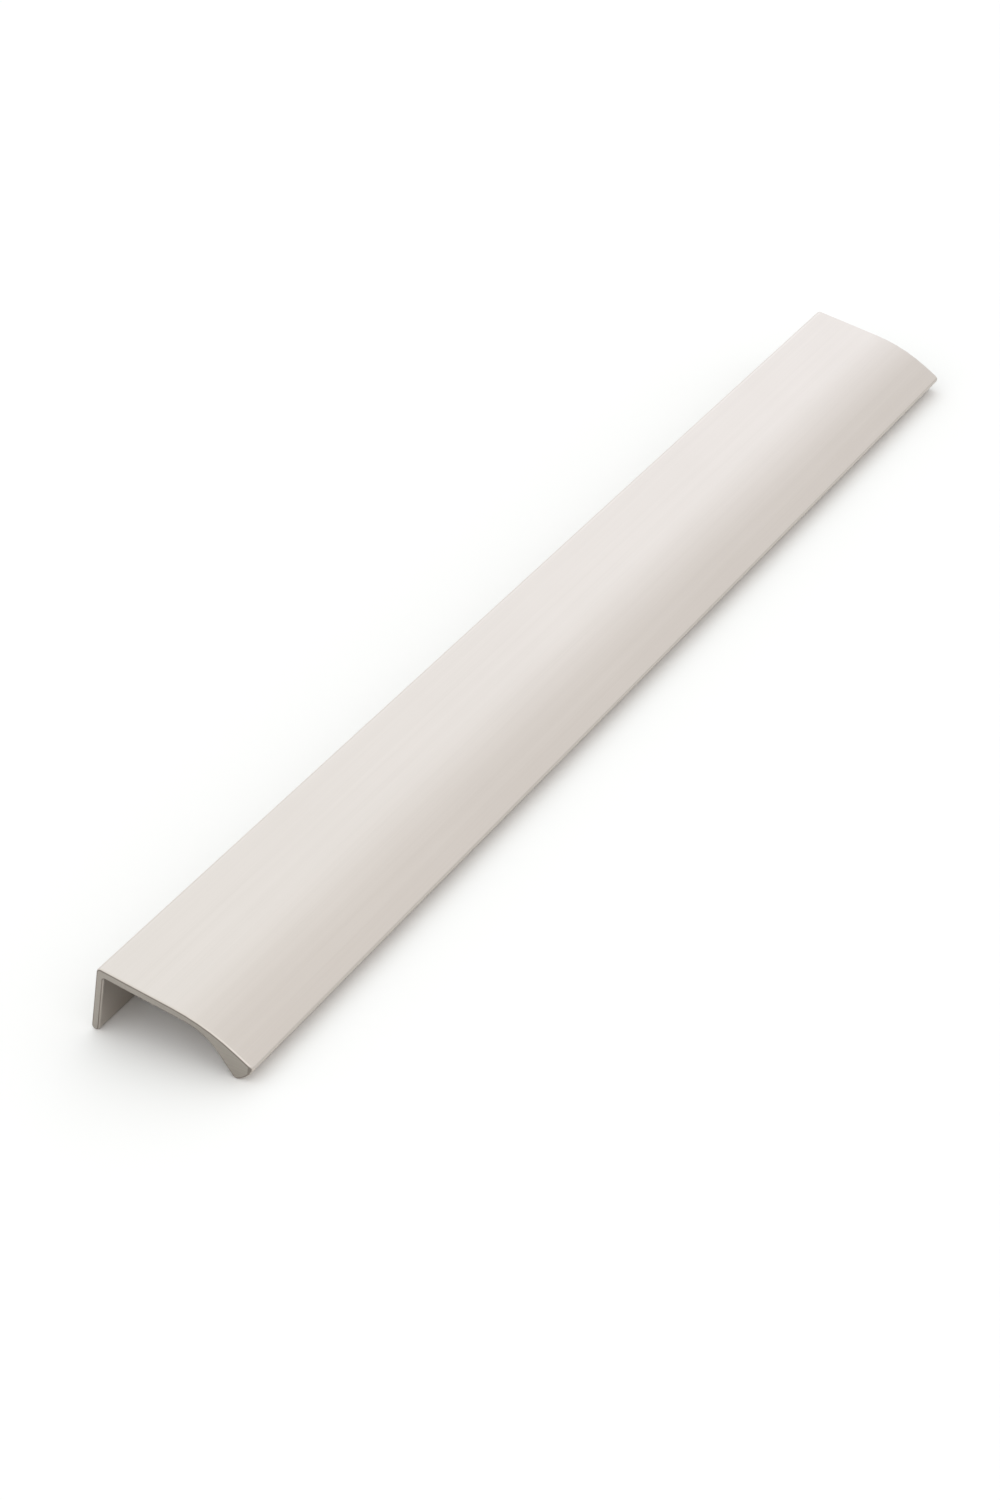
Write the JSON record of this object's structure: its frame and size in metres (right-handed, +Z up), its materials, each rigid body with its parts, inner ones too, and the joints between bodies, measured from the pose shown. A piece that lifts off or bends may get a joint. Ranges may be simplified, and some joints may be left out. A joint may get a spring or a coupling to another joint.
{
  "type": "edge pull",
  "caption": "Slim metal finger pull for a door or drawer edge: a flat plate between a screw flange and a sloping, wedge-shaped lip.",
  "frame": {"origin": "on the floor, under the middle of the part's bounding box, with the part lying on its flange and lip", "axes": "+X along the length, the lip faces -Y and the flange is at +Y, +Z up; the plate leans 12 degrees down to the lip"},
  "size_m": [0.35, 0.0412, 0.0171],
  "materials": {
    "satin_metal": "satin, nickel-coloured"
  },
  "bodies": {
    "root": {"pull_profile": "satin_metal"}
  },
  "joints": []
}
